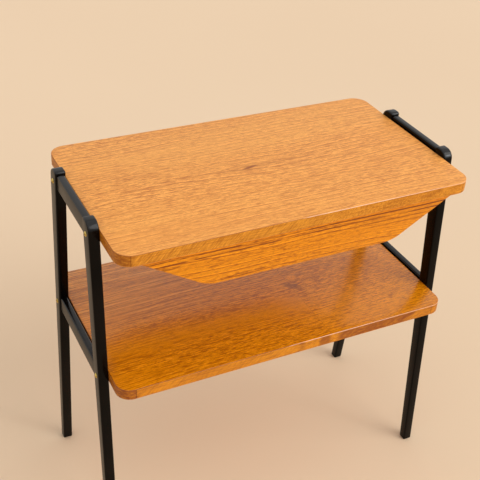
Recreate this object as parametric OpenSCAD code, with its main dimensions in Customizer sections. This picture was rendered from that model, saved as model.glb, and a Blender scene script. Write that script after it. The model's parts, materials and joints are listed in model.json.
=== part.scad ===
// Sewing table with a boat-shaped drawer and two sliding trays.
// A teak top and a teak shelf are screwed between two black side frames, and the
// drawer hangs by its lips on runners under the top.
// Millimetres. The origin is on the floor under the middle of the top, +Z is up,
// the drawer opens towards -Y, and the side frames stand at -X and +X.

/* [Top and shelf] */
// Length of the top and of the shelf, between the side frames
board_l = 560; // [460:10:680]
// Thickness of the top and of the shelf
board_t = 18; // [15:1:22]
// Depth of the top, front to back
top_d = 315; // [260:5:380]
// Height of the upper face of the top above the floor
top_h = 572; // [475:1:690]
// Radius of the corners of the top, seen from above
top_corner_r = 24; // [12:1:30]
// Depth of the shelf, front to back
shelf_d = 308; // [255:1:370]
// Height of the upper face of the shelf above the floor
shelf_h = 340; // [280:1:380]
// Radius of the corners of the shelf, seen from above
shelf_corner_r = 22; // [12:1:30]
// Thickness of the solid lipping round both boards
lipping_t = 3; // [2:0.5:5]

/* [Side frames] */
// Thickness of a leg, along the length of the table
leg_t = 16; // [13:0.5:20]
// Half the gap between the two legs of a frame, at the height of the top
leg_gap_top = 61.5; // [50:0.5:75]
// Half the gap between the two legs of a frame, at the floor
leg_gap_foot = 117.5; // [97:0.5:141]
// Width of a leg at the height of the top
leg_w_top = 25; // [20:0.5:30]
// Width of a leg at the floor
leg_w_foot = 14.5; // [12:0.5:18]
// Height of a leg's head above the top
head_rise = 11; // [9:0.5:14]
// Radius of the outer shoulder of a leg's head
shoulder_r = 10; // [6:0.5:12]
// Radius of the inner arris of a leg's head
head_arris_r = 2; // [1:0.5:3]
// Thickness of the rails between the legs
rail_t = 11; // [9:0.5:13]
// Height of the section of the upper rail
upper_rail_h = 26; // [21:0.5:32]
// Height of the upper rail's top face above the table top
upper_rail_rise = 6.5; // [5:0.5:8]
// Height of the section of the lower rail
lower_rail_h = 26; // [21:0.5:32]
// Height of the lower rail's top face above the shelf
lower_rail_rise = 3.5; // [2:0.5:6]

/* [Screws and dowels] */
// Diameter of the dowels between rails and legs
dowel_d = 6; // [5:0.5:7]
// Depth of a dowel in a leg
dowel_in_leg = 9; // [7:0.5:11]
// Depth of a dowel in a rail
dowel_in_rail = 16; // [13:1:20]
// Distance between the two dowels at each end of a rail
dowel_pitch = 13; // [11:0.5:14]
// Diameter of the shank of a frame screw
frame_screw_d = 4; // [3.5:0.1:5]
// Diameter of the domed head of a frame screw
frame_screw_head_d = 8; // [6.5:0.5:10]
// Height of the domed head of a frame screw
frame_screw_dome = 2.4; // [1.8:0.1:3]
// Length of a frame screw inside the board
frame_screw_bite = 30; // [20:1:40]
// Diameter of the shank of a runner screw
runner_screw_d = 3.5; // [3:0.1:4]
// Diameter of the countersunk head of a runner screw
runner_screw_head_d = 6.6; // [6:0.1:7]
// Length of a runner screw inside the top
runner_screw_bite = 11; // [8:0.5:13]

/* [Drawer] */
// Gap from an end of the top to the upper corner of the drawer front
front_end_gap = 27.5; // [22:0.5:33]
// Drop from the underside of the top to the lower edge of the drawer front
front_drop = 61.5; // [51:0.5:74]
// Angle between the slanted ends of the drawer and the level
slant = 31.2; // [27:0.1:38]
// Radius of the lower corners of the drawer front
front_corner_r = 50; // [20:1:65]
// Thickness of the drawer front
front_t = 12; // [10:0.5:15]
// Distance that the drawer front stands back from the front edge of the top
front_setback = 5; // [4:0.5:8]
// Distance that the drawer's back stands in from the rear edge of the top
back_setback = 11.5; // [11:0.5:16]
// Thickness of the drawer's back
back_t = 8; // [6.5:0.5:10]
// Thickness of the slanted sides
side_t = 7; // [5.5:0.5:8.5]
// Thickness of the drawer's bottom
bottom_t = 4; // [3:0.5:5]
// Distance that the sides stand in from the outline of the front
side_inset = 2; // [1.5:0.5:3]
// Height of the finger grip, where the front reaches below the bottom
grip_h = 6; // [5:0.5:8]
// How far the drawer opens
drawer_travel = 200; // [160:5:200]

/* [Runners] */
// Total height of a runner under the top
runner_h = 13; // [12:0.5:16]
// Width of the spacer batten of a runner
spacer_w = 8.5; // [8:0.5:10]
// Thickness of the ledge of a runner
runner_ledge_t = 4.5; // [4:0.5:5]
// Width of the ledge that carries the drawer's lip
runner_ledge_w = 12; // [10:0.5:14]
// Width of the web that joins a lip to a slanted side
web_w = 12; // [10:0.5:14]
// Length of a stop block
stop_l = 30; // [25:1:36]
// Width of a stop block
stop_w = 10; // [8:0.5:12]
// Height of a stop block
stop_h = 6; // [5.5:0.5:6.5]

/* [Trays and dividers] */
// How far each tray slides
tray_travel = 65; // [50:1:78]
// Drop from the underside of the top to the rim of the trays
tray_drop = 7.5; // [7.5:0.5:9]
// Height of a tray
tray_h = 18; // [15:0.5:21]
// Thickness of a tray's walls
tray_wall = 5; // [4:0.5:6]
// Thickness of a tray's base
tray_base_t = 3; // [2.5:0.5:4]
// Number of dividers in a tray
tray_dividers = 2; // [1:1:4]
// Thickness of a tray's dividers
tray_divider_t = 3; // [2.5:0.5:4]
// Height that the tray dividers stay below the rim
tray_divider_low = 3; // [2:0.5:5]
// Radius of the finger notch in a tray's inner wall
notch_r = 11; // [9:0.5:13]
// Depth of the finger notch
notch_depth = 6; // [5:0.5:8]
// Side of the square ledges that carry the trays
tray_ledge = 6; // [5:0.5:7]
// Thickness of the middle divider of the drawer
middle_t = 6; // [5:0.5:8]
// Thickness of the low dividers under the trays
low_divider_t = 4; // [3:0.5:5]

/* [Clearances] */
// Gap between the underside of the top and the drawer front
front_gap = 1.2; // [0.8:0.1:2]
// Gap between the underside of the top and the drawer's lips and back
lip_gap = 2.5; // [2:0.1:3]
// Gap under a lip and under a tray, where they slide
slide_gap = 0.3; // [0.2:0.1:0.5]
// Gap beside a lip, in its runner
lip_side_gap = 0.5; // [0.4:0.1:1]
// Gap between a runner and the parts of the drawer that pass it
pass_gap = 1.5; // [1:0.1:2]
// Gap between the drawer front and the runners
runner_front_gap = 2.5; // [1.5:0.5:4]
// Gap between a tray and the drawer's front and back
tray_side_gap = 0.5; // [0.4:0.1:1]
// Gap between a tray and the drawer's ends and middle divider
tray_end_gap = 1; // [0.6:0.1:2]
// Gap between a tray and the low divider beneath it
tray_over_gap = 1.8; // [1.5:0.1:3]
// Gap between the drawer's back and each stop block
stop_gap = 0.5; // [0.3:0.1:1]
// Difference in diameter between a hole and its screw or dowel
hole_clear = 0.2; // [0.1:0.1:0.4]
// Glue line between a slanted side and what is glued to its inner face
glue_line = 0.02; // [0.01:0.01:0.1]

/* [Hidden] */
$fn = 48;
ARC_STEPS = 8;     // straight pieces in each rounded corner of an outline
EXTRA = 1;         // how far a cutting shape reaches past the face it cuts
SIDES = [-1, 1];   // left and right, or front and rear

TEAK = [0.80, 0.50, 0.25];
TEAK_EDGE = [0.74, 0.48, 0.20];
BLACK = [0.07, 0.07, 0.07];
BRASS = [0.80, 0.62, 0.26];
BEECH = [0.82, 0.66, 0.46];
PLY = [0.86, 0.74, 0.56];
STEEL = [0.70, 0.70, 0.72];

// Levels of the boards
top_under = top_h - board_t;
top_mid = top_h - board_t / 2;
shelf_mid = shelf_h - board_t / 2;

// Legs: the inner and outer edges at height z, as distances from the middle
function leg_inner(z) = leg_gap_foot + (leg_gap_top - leg_gap_foot) * z / top_h;
function leg_width(z) = leg_w_foot + (leg_w_top - leg_w_foot) * z / top_h;
function leg_outer(z) = leg_inner(z) + leg_width(z);
function leg_middle(z) = leg_inner(z) + leg_width(z) / 2;
head_h = top_h + head_rise;
upper_rail_top = top_h + upper_rail_rise;
lower_rail_top = shelf_h + lower_rail_rise;
frame_x = board_l / 2 + leg_t / 2;

// Drawer: half its length at a drop below the top, with its outline moved in
function slant_x(drop, inset) =
  board_l / 2 - front_end_gap - drop / tan(slant) - inset / sin(slant);
side_inner = side_inset + side_t;
side_seat = side_inner + glue_line;
front_y = -top_d / 2 + front_setback;
inner_front_y = front_y + front_t;
back_y = top_d / 2 - back_setback;
inner_back_y = back_y - back_t;
inner_depth = inner_back_y - inner_front_y;
bottom_drop = front_drop - grip_h;
floor_drop = bottom_drop - bottom_t;

// Runners and lips
runner_out_x = slant_x(runner_h, side_inset);
spacer_in_x = runner_out_x - spacer_w;
ledge_in_x = spacer_in_x - runner_ledge_w;
ledge_top_drop = runner_h - runner_ledge_t;
runner_front_y = inner_front_y + runner_front_gap;
runner_l = inner_back_y - runner_front_y;
side_top_drop = runner_h + pass_gap;
lip_out_x = spacer_in_x - lip_side_gap;
lip_bottom_drop = ledge_top_drop - slide_gap;
web_out_x = ledge_in_x - pass_gap;
web_in_x = web_out_x - web_w;
runner_screw_x = (spacer_in_x + runner_out_x) / 2;
runner_screw_end = 30;
runner_screw_y = [for (i = [0:2]) runner_front_y + runner_screw_end
  + i * (runner_l - 2 * runner_screw_end) / 2];
runner_screw_head_h = 2.2;

// Stop blocks: one ahead of the open drawer's back, one behind the closed drawer
front_stop_y = inner_back_y - drawer_travel - stop_gap - stop_w;
rear_stop_y = back_y + stop_gap;
stop_ys = [front_stop_y, rear_stop_y];

// Trays
tray_base_drop = tray_drop + tray_h;
tray_ledge_drop = tray_base_drop + slide_gap;
tray_out_x = min(web_in_x, slant_x(tray_base_drop, side_inner)) - tray_end_gap;
tray_in_x = middle_t / 2 + tray_end_gap + tray_travel;
tray_l = tray_out_x - tray_in_x;
tray_front_y = inner_front_y + tray_side_gap;
tray_depth = inner_depth - 2 * tray_side_gap;
tray_floor_z = top_under - tray_base_drop + tray_base_t;
tray_wall_h = tray_h - tray_base_t;
tray_cell = (tray_depth - 2 * tray_wall - tray_dividers * tray_divider_t) / (tray_dividers + 1);
low_divider_drop = tray_base_drop + tray_over_gap;

// --- Helpers ---

function unit(v) = v / norm(v);

// Points of the arc that rounds the corner b of the outline a, b, c
function corner_arc(a, b, c, r) =
  let (
    u = unit(a - b),
    v = unit(c - b),
    half = acos(u * v) / 2,
    centre = b + unit(u + v) * r / sin(half),
    start = b + u * r / tan(half) - centre,
    turn = (u.x * v.y - u.y * v.x > 0 ? -1 : 1) * (180 - 2 * half)
  )
  [for (i = [0:ARC_STEPS]) let (t = turn * i / ARC_STEPS)
    centre + [start.x * cos(t) - start.y * sin(t), start.x * sin(t) + start.y * cos(t)]];

// Outline whose corner i is rounded with radii[i], or left sharp where that is 0
function rounded(pts, radii) =
  let (n = len(pts))
  [for (i = [0:n - 1]) each radii[i] > 0
    ? corner_arc(pts[(i + n - 1) % n], pts[i], pts[(i + 1) % n], radii[i])
    : [pts[i]]];

// Outline that is the same on both sides of the middle, from its right half
function both_sides(half) =
  concat(half, [for (i = [len(half) - 1:-1:0]) [-half[i].x, half[i].y]]);

// Box from the corner lo to the corner hi
module block(lo, hi) {
  translate(lo)
    cube(hi - lo);
}

// Outline of points [x, drop] under the top, as a piece from y_0 to y_1
module drop_section(pts, y_0, y_1) {
  translate([0, y_1, top_under])
    rotate([90, 0, 0])
      linear_extrude(y_1 - y_0)
        polygon([for (p = pts) [p.x, -p.y]]);
}

// Outline of points [y, z], as a piece of thickness t centred on x
module frame_section(pts, x, t) {
  translate([x - t / 2, 0, 0])
    rotate([90, 0, 90])
      linear_extrude(t)
        polygon(pts);
}

// Outline of a board with rounded corners, moved in by inset all round
module board_outline(d, r, inset) {
  x = board_l / 2 - inset;
  y = d / 2 - inset;
  polygon(rounded([[-x, -y], [x, -y], [x, y], [-x, y]], [for (i = [0:3]) r - inset]));
}

// --- Screws and dowels ---

// Wood screw with a slotted domed head, its seat at the origin and its point at -Z
module dome_screw(grip) {
  dome_r = (pow(frame_screw_head_d / 2, 2) + pow(frame_screw_dome, 2)) / (2 * frame_screw_dome);
  slot_w = 1;
  slot_depth = 0.9;
  point_l = 5;
  difference() {
    intersection() {
      translate([0, 0, frame_screw_dome - dome_r])
        sphere(r = dome_r);
      cylinder(d = frame_screw_head_d + EXTRA, h = frame_screw_dome + EXTRA);
    }
    translate([-frame_screw_head_d, -slot_w / 2, frame_screw_dome - slot_depth])
      cube([2 * frame_screw_head_d, slot_w, slot_depth + EXTRA]);
  }
  translate([0, 0, point_l - grip])
    cylinder(d = frame_screw_d, h = grip - point_l);
  translate([0, 0, -grip])
    cylinder(d1 = frame_screw_d / 4, d2 = frame_screw_d, h = point_l);
}

// Places children at the four frame screws of a board, seat outwards along its end
module at_frame_screws(z) {
  for (sx = SIDES)
    for (sy = SIDES)
      translate([sx * (board_l / 2 + leg_t), sy * leg_middle(z), z])
        rotate([0, sx * 90, 0])
          children();
}

module frame_screw_holes(z) {
  depth = leg_t + frame_screw_bite + EXTRA;
  at_frame_screws(z)
    translate([0, 0, -depth])
      cylinder(d = frame_screw_d + hole_clear, h = depth + EXTRA);
}

module frame_screws(z) {
  color(BRASS)
    at_frame_screws(z)
      dome_screw(leg_t + frame_screw_bite);
}

// Places children at the dowels of one frame, along +Y from the leg into the rail
module at_dowels(sx) {
  for (mid = [upper_rail_top - upper_rail_h / 2, lower_rail_top - lower_rail_h / 2])
    for (dz = [-dowel_pitch / 2, dowel_pitch / 2])
      for (sy = SIDES)
        translate([sx * frame_x, sy * leg_inner(mid + dz), mid + dz])
          rotate([sy * 90, 0, 0])
            children();
}

module dowel_holes(sx) {
  at_dowels(sx)
    translate([0, 0, -dowel_in_leg - hole_clear])
      cylinder(d = dowel_d + hole_clear, h = dowel_in_leg + dowel_in_rail + 2 * hole_clear);
}

module rail_dowels() {
  color(BEECH)
    for (sx = SIDES)
      at_dowels(sx)
        translate([0, 0, -dowel_in_leg])
          cylinder(d = dowel_d, h = dowel_in_leg + dowel_in_rail);
}

// Countersunk screw pointing up from a head whose face lies at the origin
module flat_screw(grip, grow = 0) {
  cylinder(d1 = runner_screw_head_d + grow, d2 = runner_screw_d + grow, h = runner_screw_head_h);
  cylinder(d = runner_screw_d + grow, h = grip + grow);
}

module at_runner_screws(side) {
  for (y = runner_screw_y)
    translate([side * runner_screw_x, y, top_under - runner_h])
      children();
}

module runner_screw_holes() {
  for (side = SIDES)
    at_runner_screws(side)
      flat_screw(runner_h + runner_screw_bite, hole_clear);
}

module runner_screws() {
  color(STEEL)
    for (side = SIDES)
      at_runner_screws(side)
        flat_screw(runner_h + runner_screw_bite);
}

module at_stop_screws() {
  for (y = stop_ys)
    translate([0, y + stop_w / 2, top_under - stop_h])
      children();
}

module stop_screw_holes() {
  at_stop_screws()
    flat_screw(stop_h + runner_screw_bite, hole_clear);
}

module stop_screws() {
  color(STEEL)
    at_stop_screws()
      flat_screw(stop_h + runner_screw_bite);
}

// --- Top and shelf ---

// Core of a board inside its lipping, its lower face at z
module board_core(d, r, z) {
  translate([0, 0, z])
    linear_extrude(board_t)
      board_outline(d, r, lipping_t);
}

module board_lipping(d, r, z) {
  translate([0, 0, z])
    linear_extrude(board_t)
      difference() {
        board_outline(d, r, 0);
        board_outline(d, r, lipping_t);
      }
}

module top_core() {
  color(TEAK)
    difference() {
      board_core(top_d, top_corner_r, top_under);
      frame_screw_holes(top_mid);
      runner_screw_holes();
      stop_screw_holes();
    }
}

module top_lipping() {
  color(TEAK_EDGE)
    difference() {
      board_lipping(top_d, top_corner_r, top_under);
      frame_screw_holes(top_mid);
    }
}

module shelf_core() {
  color(TEAK)
    difference() {
      board_core(shelf_d, shelf_corner_r, shelf_h - board_t);
      frame_screw_holes(shelf_mid);
    }
}

module shelf_lipping() {
  color(TEAK_EDGE)
    difference() {
      board_lipping(shelf_d, shelf_corner_r, shelf_h - board_t);
      frame_screw_holes(shelf_mid);
    }
}

// --- Side frames ---

// Tapered leg with a rounded shoulder; side is -1 left, 1 right; row is -1 front, 1 rear
module leg(side, row) {
  outline = rounded(
    [[leg_inner(0), 0], [leg_outer(0), 0], [leg_outer(head_h), head_h], [leg_inner(head_h), head_h]],
    [0, 0, shoulder_r, head_arris_r]
  );
  color(BLACK)
    difference() {
      frame_section([for (p = outline) [row * p.x, p.y]], side * frame_x, leg_t);
      frame_screw_holes(top_mid);
      frame_screw_holes(shelf_mid);
      dowel_holes(side);
    }
}

// Rail between the legs of a frame, its ends cut to their slope
module rail(side, z_top, h) {
  color(BLACK)
    difference() {
      frame_section(
        both_sides([[leg_inner(z_top - h), z_top - h], [leg_inner(z_top), z_top]]),
        side * frame_x,
        rail_t
      );
      dowel_holes(side);
    }
}

// --- Runners and stops ---

module runner_spacer(side) {
  color(BEECH)
    difference() {
      block(
        [min(side * spacer_in_x, side * runner_out_x), runner_front_y, top_under - ledge_top_drop],
        [max(side * spacer_in_x, side * runner_out_x), runner_front_y + runner_l, top_under]
      );
      runner_screw_holes();
    }
}

module runner_ledge(side) {
  color(BEECH)
    difference() {
      block(
        [min(side * ledge_in_x, side * runner_out_x), runner_front_y, top_under - runner_h],
        [max(side * ledge_in_x, side * runner_out_x), runner_front_y + runner_l,
          top_under - ledge_top_drop]
      );
      runner_screw_holes();
    }
}

module stop_block(y) {
  color(BEECH)
    difference() {
      block([-stop_l / 2, y, top_under - stop_h], [stop_l / 2, y + stop_w, top_under]);
      stop_screw_holes();
    }
}

// --- Drawer ---

module drawer_front() {
  color(TEAK)
    drop_section(
      rounded(
        both_sides([[slant_x(front_gap, 0), front_gap], [slant_x(front_drop, 0), front_drop]]),
        [0, front_corner_r, front_corner_r, 0]
      ),
      front_y,
      inner_front_y
    );
}

// Back board, stepped at its upper corners so that it passes the runners
module drawer_back() {
  color(TEAK_EDGE)
    drop_section(
      both_sides([
        [web_out_x, lip_gap],
        [web_out_x, side_top_drop],
        [slant_x(side_top_drop, side_inset), side_top_drop],
        [slant_x(bottom_drop, side_inset), bottom_drop],
      ]),
      inner_back_y,
      back_y
    );
}

module drawer_bottom() {
  color(PLY)
    drop_section(
      both_sides([
        [slant_x(floor_drop, side_seat), floor_drop],
        [slant_x(bottom_drop, side_seat), bottom_drop],
      ]),
      inner_front_y,
      inner_back_y
    );
}

module drawer_side(side) {
  section = [
    [slant_x(side_top_drop, side_inset), side_top_drop],
    [slant_x(bottom_drop, side_inset), bottom_drop],
    [slant_x(bottom_drop, side_inner), bottom_drop],
    [slant_x(side_top_drop, side_inner), side_top_drop],
  ];
  color(TEAK_EDGE)
    drop_section([for (p = section) [side * p.x, p.y]], inner_front_y, inner_back_y);
}

module drawer_lip(side) {
  section = [[web_in_x, lip_gap], [lip_out_x, lip_gap], [lip_out_x, lip_bottom_drop],
    [web_in_x, lip_bottom_drop]];
  color(BEECH)
    drop_section([for (p = section) [side * p.x, p.y]], inner_front_y, inner_back_y);
}

// Drop at which what is glued to a slanted side's inner face reaches x
function side_face_drop(x) = (slant_x(0, side_seat) - x) * tan(slant);

module drawer_web(side) {
  section = [[web_in_x, lip_bottom_drop], [web_out_x, lip_bottom_drop],
    [web_out_x, side_face_drop(web_out_x)], [web_in_x, side_face_drop(web_in_x)]];
  color(BEECH)
    drop_section([for (p = section) [side * p.x, p.y]], inner_front_y, inner_back_y);
}

// --- Dividers and tray ledges ---

// Where a tray ledge ends at a drop, against the web or the slanted side
function ledge_end_x(drop) = min(web_in_x, slant_x(drop, side_seat));

module ledge_section(y_0, y_1) {
  drop_section(
    both_sides([
      [ledge_end_x(tray_ledge_drop), tray_ledge_drop],
      [ledge_end_x(tray_ledge_drop + tray_ledge), tray_ledge_drop + tray_ledge],
    ]),
    y_0,
    y_1
  );
}

module tray_ledge_front() {
  color(BEECH)
    ledge_section(inner_front_y, inner_front_y + tray_ledge);
}

module tray_ledge_rear() {
  color(BEECH)
    ledge_section(inner_back_y - tray_ledge, inner_back_y);
}

// Upright divider from the drawer's bottom up to a drop, notched over the ledges
module divider(x, t, drop) {
  color(PLY)
    difference() {
      block(
        [x - t / 2, inner_front_y, top_under - floor_drop],
        [x + t / 2, inner_back_y, top_under - drop]
      );
      ledge_section(inner_front_y - EXTRA, inner_front_y + tray_ledge);
      ledge_section(inner_back_y - tray_ledge, inner_back_y + EXTRA);
    }
}

module low_divider(side) {
  divider(side * (tray_in_x + low_divider_t / 2), low_divider_t, low_divider_drop);
}

// --- Trays ---

// Part of a tray between two distances from the middle, on the given side
module tray_block(side, x_0, x_1, y_0, y_1, z_0, z_1) {
  block([min(side * x_0, side * x_1), y_0, z_0], [max(side * x_0, side * x_1), y_1, z_1]);
}

module tray_base(side) {
  color(PLY)
    tray_block(side, tray_in_x, tray_out_x, tray_front_y, tray_front_y + tray_depth,
      tray_floor_z - tray_base_t, tray_floor_z);
}

module tray_outer_wall(side) {
  color(TEAK_EDGE)
    tray_block(side, tray_out_x - tray_wall, tray_out_x, tray_front_y, tray_front_y + tray_depth,
      tray_floor_z, tray_floor_z + tray_wall_h);
}

// Inner wall, with a finger notch in the middle of its rim
module tray_inner_wall(side) {
  rim_z = tray_floor_z + tray_wall_h;
  color(TEAK_EDGE)
    difference() {
      tray_block(side, tray_in_x, tray_in_x + tray_wall, tray_front_y, tray_front_y + tray_depth,
        tray_floor_z, rim_z);
      translate([
        side * (tray_in_x + tray_wall / 2) - tray_wall,
        tray_front_y + tray_depth / 2,
        rim_z + notch_r - notch_depth,
      ])
        rotate([0, 90, 0])
          cylinder(r = notch_r, h = 2 * tray_wall);
    }
}

module tray_end_wall(side, y) {
  color(TEAK_EDGE)
    tray_block(side, tray_in_x + tray_wall, tray_out_x - tray_wall, y, y + tray_wall,
      tray_floor_z, tray_floor_z + tray_wall_h);
}

module tray_divider_set(side) {
  color(PLY)
    for (i = [1:tray_dividers])
      tray_block(side, tray_in_x + tray_wall, tray_out_x - tray_wall,
        tray_front_y + tray_wall + i * tray_cell + (i - 1) * tray_divider_t,
        tray_front_y + tray_wall + i * (tray_cell + tray_divider_t),
        tray_floor_z, tray_floor_z + tray_wall_h - tray_divider_low);
}

// --- Nodes ---

tray_rear_wall_y = tray_front_y + tray_depth - tray_wall;

top_core();
top_lipping();
shelf_core();
shelf_lipping();
leg(-1, -1);  // leg_front_left
leg(1, -1);  // leg_front_right
leg(-1, 1);  // leg_rear_left
leg(1, 1);  // leg_rear_right
rail(-1, upper_rail_top, upper_rail_h);  // upper_rail_left
rail(1, upper_rail_top, upper_rail_h);  // upper_rail_right
rail(-1, lower_rail_top, lower_rail_h);  // lower_rail_left
rail(1, lower_rail_top, lower_rail_h);  // lower_rail_right
rail_dowels();
frame_screws(top_mid);  // top_screws
frame_screws(shelf_mid);  // shelf_screws
runner_spacer(-1);  // runner_spacer_left
runner_spacer(1);  // runner_spacer_right
runner_ledge(-1);  // runner_ledge_left
runner_ledge(1);  // runner_ledge_right
runner_screws();
stop_block(front_stop_y);  // front_stop
stop_block(rear_stop_y);  // rear_stop
stop_screws();
drawer_front();
drawer_back();
drawer_bottom();
drawer_side(-1);  // drawer_side_left
drawer_side(1);  // drawer_side_right
drawer_lip(-1);  // drawer_lip_left
drawer_lip(1);  // drawer_lip_right
drawer_web(-1);  // drawer_web_left
drawer_web(1);  // drawer_web_right
divider(0, middle_t, tray_drop);  // middle_divider
low_divider(-1);  // low_divider_left
low_divider(1);  // low_divider_right
tray_ledge_front();
tray_ledge_rear();
tray_base(-1);  // tray_left_base
tray_outer_wall(-1);  // tray_left_outer_wall
tray_inner_wall(-1);  // tray_left_inner_wall
tray_end_wall(-1, tray_front_y);  // tray_left_front_wall
tray_end_wall(-1, tray_rear_wall_y);  // tray_left_rear_wall
tray_divider_set(-1);  // tray_left_dividers
tray_base(1);  // tray_right_base
tray_outer_wall(1);  // tray_right_outer_wall
tray_inner_wall(1);  // tray_right_inner_wall
tray_end_wall(1, tray_front_y);  // tray_right_front_wall
tray_end_wall(1, tray_rear_wall_y);  // tray_right_rear_wall
tray_divider_set(1);  // tray_right_dividers
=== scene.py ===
# %% [markdown]
# # A small teak sewing table
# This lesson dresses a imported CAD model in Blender. The object is a Scandinavian sewing table: a veneered
# top, a boat-shaped drawer hung under it, a shelf, and two black ladder frames held by brass screws.
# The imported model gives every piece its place, so it is loaded first and never moved.

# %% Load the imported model
import json
import math

import bmesh
import bpy
from mathutils import Matrix, Vector

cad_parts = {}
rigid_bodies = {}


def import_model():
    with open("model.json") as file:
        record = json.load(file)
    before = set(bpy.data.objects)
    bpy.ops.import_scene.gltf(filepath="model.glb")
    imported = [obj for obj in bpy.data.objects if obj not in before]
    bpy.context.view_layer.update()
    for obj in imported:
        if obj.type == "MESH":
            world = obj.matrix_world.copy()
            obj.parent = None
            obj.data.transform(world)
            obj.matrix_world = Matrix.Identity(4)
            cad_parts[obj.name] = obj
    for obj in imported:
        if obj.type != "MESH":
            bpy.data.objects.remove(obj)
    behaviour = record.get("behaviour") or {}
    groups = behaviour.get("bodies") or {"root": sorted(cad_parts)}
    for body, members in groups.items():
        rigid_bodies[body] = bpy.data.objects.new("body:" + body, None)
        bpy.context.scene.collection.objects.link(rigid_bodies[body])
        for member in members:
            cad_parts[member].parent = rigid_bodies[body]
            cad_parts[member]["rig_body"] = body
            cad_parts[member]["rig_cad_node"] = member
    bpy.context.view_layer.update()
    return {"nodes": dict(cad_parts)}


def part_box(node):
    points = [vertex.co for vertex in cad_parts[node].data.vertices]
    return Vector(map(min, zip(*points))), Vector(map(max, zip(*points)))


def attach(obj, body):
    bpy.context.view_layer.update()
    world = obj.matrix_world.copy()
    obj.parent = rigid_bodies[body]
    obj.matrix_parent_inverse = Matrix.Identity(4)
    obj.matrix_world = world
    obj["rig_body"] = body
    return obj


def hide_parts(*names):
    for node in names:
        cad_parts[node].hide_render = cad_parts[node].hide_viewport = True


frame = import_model()
MM = 0.001

# %% [markdown]
# ## The camera
# The camera stands in front of the left half of the table and looks down on it. A camera could be aimed
# with a Track To constraint, but then it could not be held a few degrees off level. Three turns, written
# out in order, do both: aim to the right, tip down, then roll.

# %% Camera
camera_place = (-0.5854, -1.0412, 1.2240)
aim_right = math.radians(28.325)
tip_down = math.radians(33.502)
roll = math.radians(3.896)
turn = (
    Matrix.Rotation(-aim_right, 4, "Z")
    @ Matrix.Rotation(math.pi / 2 - tip_down, 4, "X")
    @ Matrix.Rotation(roll, 4, "Z")
)
bpy.ops.object.camera_add(location=camera_place, rotation=turn.to_euler())
camera = bpy.context.object
camera.name = "camera"
camera.data.sensor_width = 36
camera.data.lens = 67.63
bpy.context.scene.camera = camera
bpy.context.scene.view_settings.view_transform = "Standard"
print("camera turned, degrees:", [round(math.degrees(angle), 2) for angle in camera.rotation_euler])

# %% [markdown]
# ## Shader maths as Python
# A wood finish needs dozens of Math nodes. They could be added and linked by hand in the Shader Editor.
# Here a small class wraps one socket, so that an expression such as 1 - mask adds its own Math node, and
# one method adds any other kind of node. A finish then reads like the sum that it is.

# %% The Wire class
class Wire:
    """One socket of a material's node tree, which can be used in sums."""

    def __init__(self, tree, socket=None):
        self.tree = tree
        self.socket = socket

    def node(self, kind, settings, sockets, output=0):
        """Adds a node: its settings first, then the values or links of its sockets."""
        made = self.tree.nodes.new(kind)
        for setting, value in settings.items():
            setattr(made, setting, value)
        for socket, value in sockets.items():
            if isinstance(value, Wire):
                self.tree.links.new(value.socket, made.inputs[socket])
            else:
                made.inputs[socket].default_value = value
        return Wire(self.tree, made.outputs[output])

    def maths(self, operation, *values):
        return self.node("ShaderNodeMath", {"operation": operation}, dict(enumerate(values)))

    def __add__(self, other):
        return self.maths("ADD", self, other)

    def __sub__(self, other):
        return self.maths("SUBTRACT", self, other)

    def __rsub__(self, other):
        return self.maths("SUBTRACT", other, self)

    def __mul__(self, other):
        return self.maths("MULTIPLY", self, other)

    def __truediv__(self, other):
        return self.maths("DIVIDE", self, other)

    __radd__ = __add__
    __rmul__ = __mul__


# %% [markdown]
# A few short helpers sit on top of the class. Wood is nearly all of the first: noise pulled out long along
# the grain. A soft step between two levels makes a mask of it, and a mix of two colours uses the mask.

# %% Noise and masks
def noise(place, scale, detail=2, roughness=0.5):
    sockets = {"Vector": place, "Scale": scale, "Detail": detail, "Roughness": roughness}
    return place.node("ShaderNodeTexNoise", {}, sockets)


def stretched(place, along, across, through, detail=1, roughness=0.5):
    """Noise with its own scale on each axis: about how many changes there are in a metre."""
    factors = {0: place, 1: (along, across, through)}
    scaled = place.node("ShaderNodeVectorMath", {"operation": "MULTIPLY"}, factors)
    return noise(scaled, 1, detail, roughness)


def step(value, low, high):
    """0 below the low level, 1 above the high one, and soft between."""
    sockets = {"Value": value, "From Min": low, "From Max": high}
    return value.node("ShaderNodeMapRange", {"interpolation_type": "SMOOTHSTEP"}, sockets)


def tint(share, first, second):
    """First colour where the share is 0, second where it is 1."""
    colours = [colour if isinstance(colour, Wire) else (*colour, 1) for colour in (first, second)]
    return share.node("ShaderNodeMix", {"data_type": "RGBA"}, {0: share, 6: colours[0], 7: colours[1]}, 2)


# %% [markdown]
# A mark on a board is measured from its own middle. These helpers split a place into its three numbers
# and put them together again, and make a mask of an oval or of a narrow band, both soft at the rim.

# %% Places, ovals and bands
def axes(place):
    """The three numbers of a place, each as a wire."""
    return [place.node("ShaderNodeSeparateXYZ", {}, {0: place}, axis) for axis in range(3)]


def point(x, y, z):
    return x.node("ShaderNodeCombineXYZ", {}, {0: x, 1: y, 2: z})


def oval(across, along, solid, gone):
    """1 in the middle, 0 outside; both distances are shares of the oval's half width and half length."""
    return 1 - step(across * across + along * along, solid, gone)


def band(distance, solid, gone):
    """1 up to one distance on either side of a line, 0 from another distance on."""
    return 1 - step(distance.maths("ABSOLUTE", distance), solid, gone)


# %% [markdown]
# A finish starts from Blender's Principled shader. What is the same all over the surface, such as the
# index of a lacquer, is set on the shader's own socket; what changes is linked later. Every pattern reads
# Object coordinates, in metres, so a streak has its real length and stays with the piece as it moves.

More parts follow.
